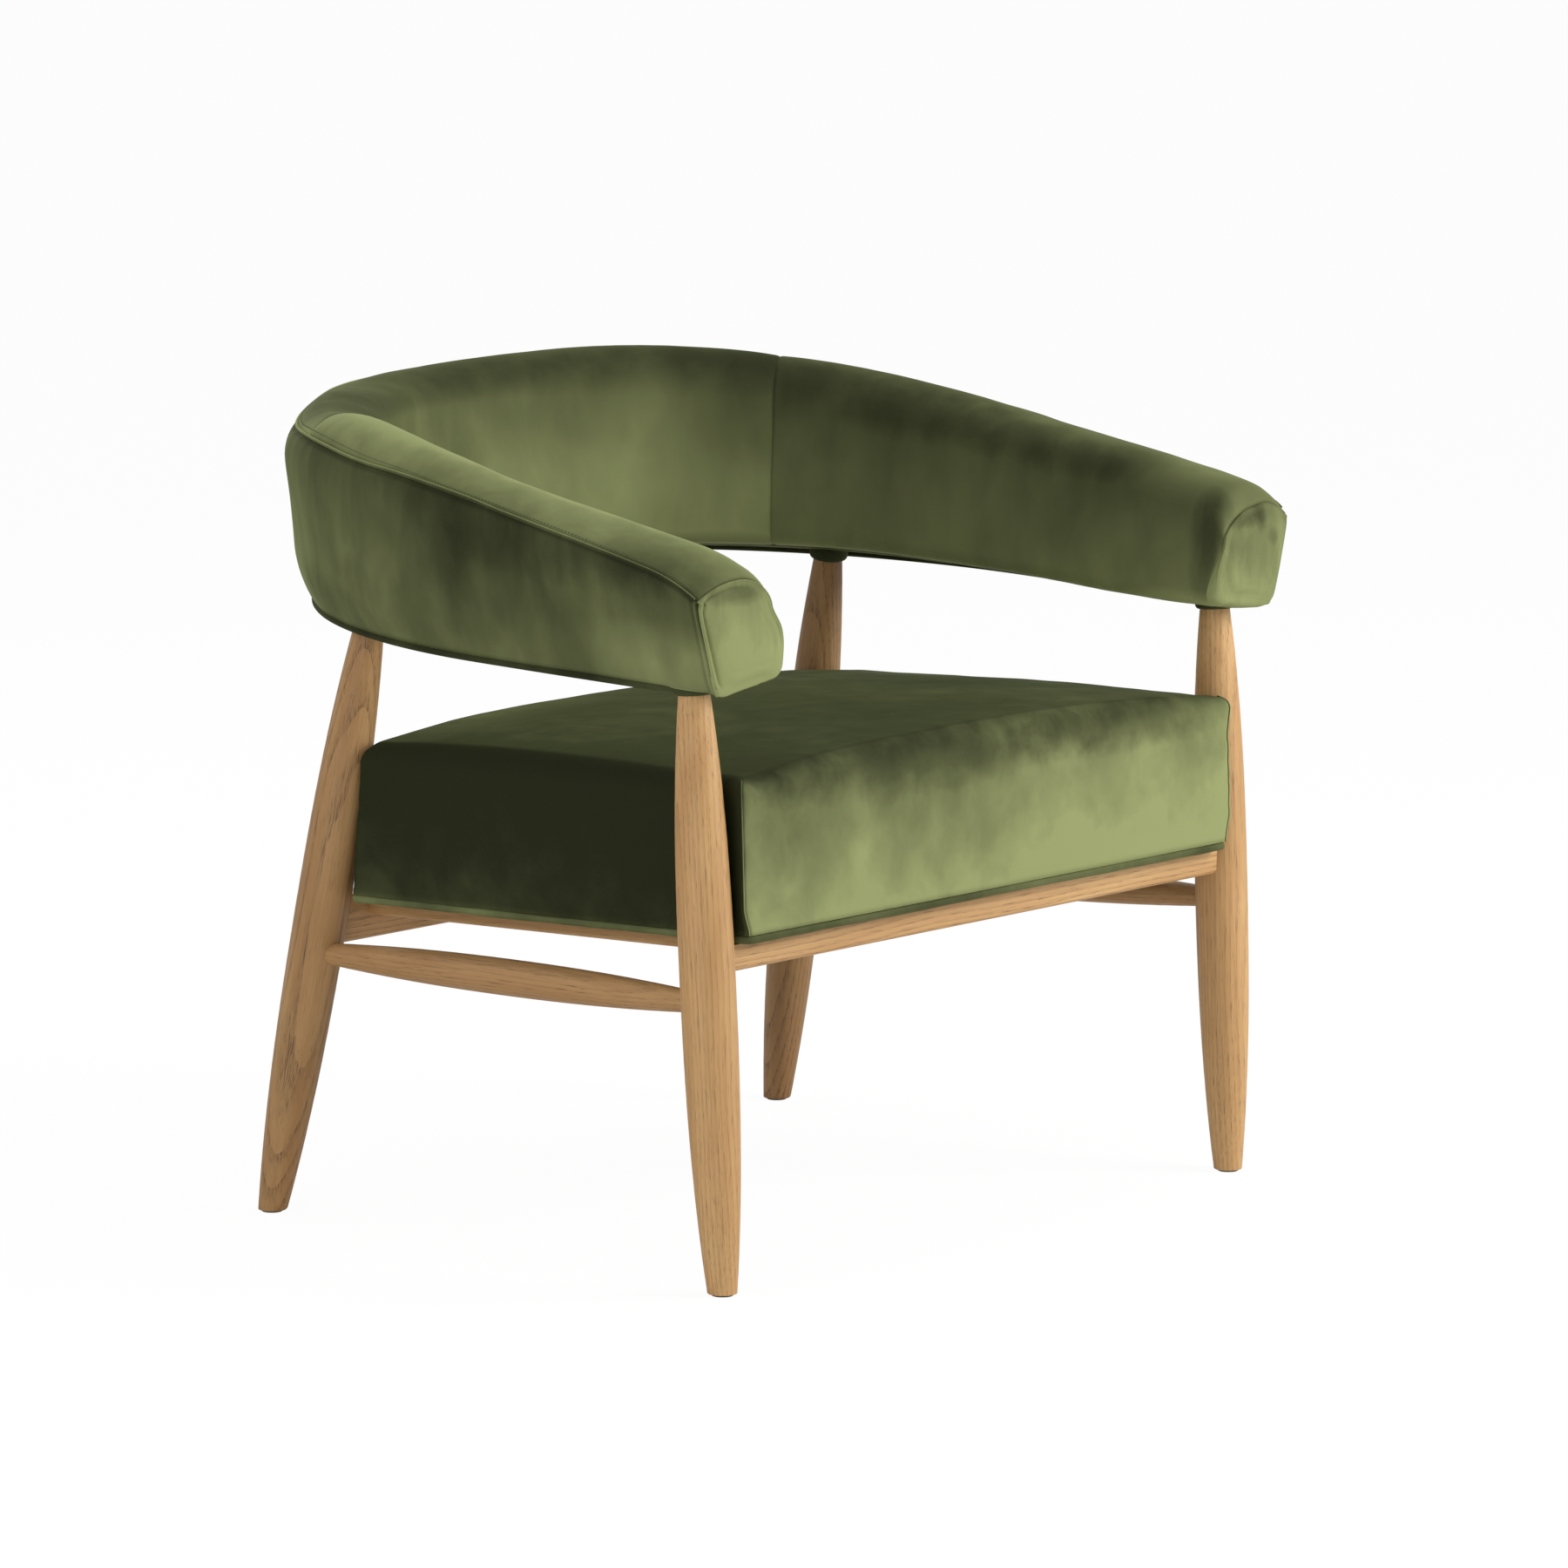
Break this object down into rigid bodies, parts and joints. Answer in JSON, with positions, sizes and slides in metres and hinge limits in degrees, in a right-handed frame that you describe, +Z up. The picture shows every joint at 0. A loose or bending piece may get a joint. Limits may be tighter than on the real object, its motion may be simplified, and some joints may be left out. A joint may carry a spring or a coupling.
{
  "type": "club chair",
  "caption": "Padded club chair: a horseshoe arm and back band and a thick box seat in velvet, on splayed turned wooden legs with side stretchers.",
  "frame": {"origin": "centre of the chair's box on the floor", "axes": "+Z up; the front of the chair faces -Y; the arm named left is on -X, as seen from the front"},
  "size_m": [0.8342, 0.743, 0.748],
  "materials": {
    "ash_wood": "satin lacquer",
    "plywood": "raw",
    "velvet": "short pile",
    "velvet_trim": "short pile",
    "foam": "open cell",
    "screw_steel": "zinc plated",
    "webbing": "woven",
    "black_cloth": "felted",
    "glide_plastic": "matt"
  },
  "bodies": {
    "root": {"leg_front_left": "ash_wood", "leg_front_right": "ash_wood", "leg_rear_left": "ash_wood", "leg_rear_right": "ash_wood", "foot_glides": "glide_plastic", "front_rail": "ash_wood", "rear_rail": "ash_wood", "side_rail_left": "ash_wood", "side_rail_right": "ash_wood", "rail_dowels": "plywood", "corner_blocks": "ash_wood", "corner_block_screws": "screw_steel", "stretcher_left": "ash_wood", "stretcher_right": "ash_wood", "seat_platform": "plywood", "seat_webbing": "webbing", "seat_foam": "foam", "seat_cover": "velvet", "seat_welt": "velvet_trim", "seat_dust_cover": "black_cloth", "seat_screws": "screw_steel", "band_base": "plywood", "band_posts": "plywood", "band_top_rail": "plywood", "band_inner_liner": "plywood", "band_outer_liner": "plywood", "band_foam": "foam", "band_cover_outer": "velvet", "band_cover_back": "velvet", "band_cover_left": "velvet", "band_cover_right": "velvet", "band_cover_under": "velvet_trim", "arm_cap_left": "velvet", "arm_cap_right": "velvet", "band_piping": "velvet_trim", "band_seam_welt": "velvet", "leg_collars": "velvet_trim", "leg_screws": "screw_steel"}
  },
  "joints": []
}
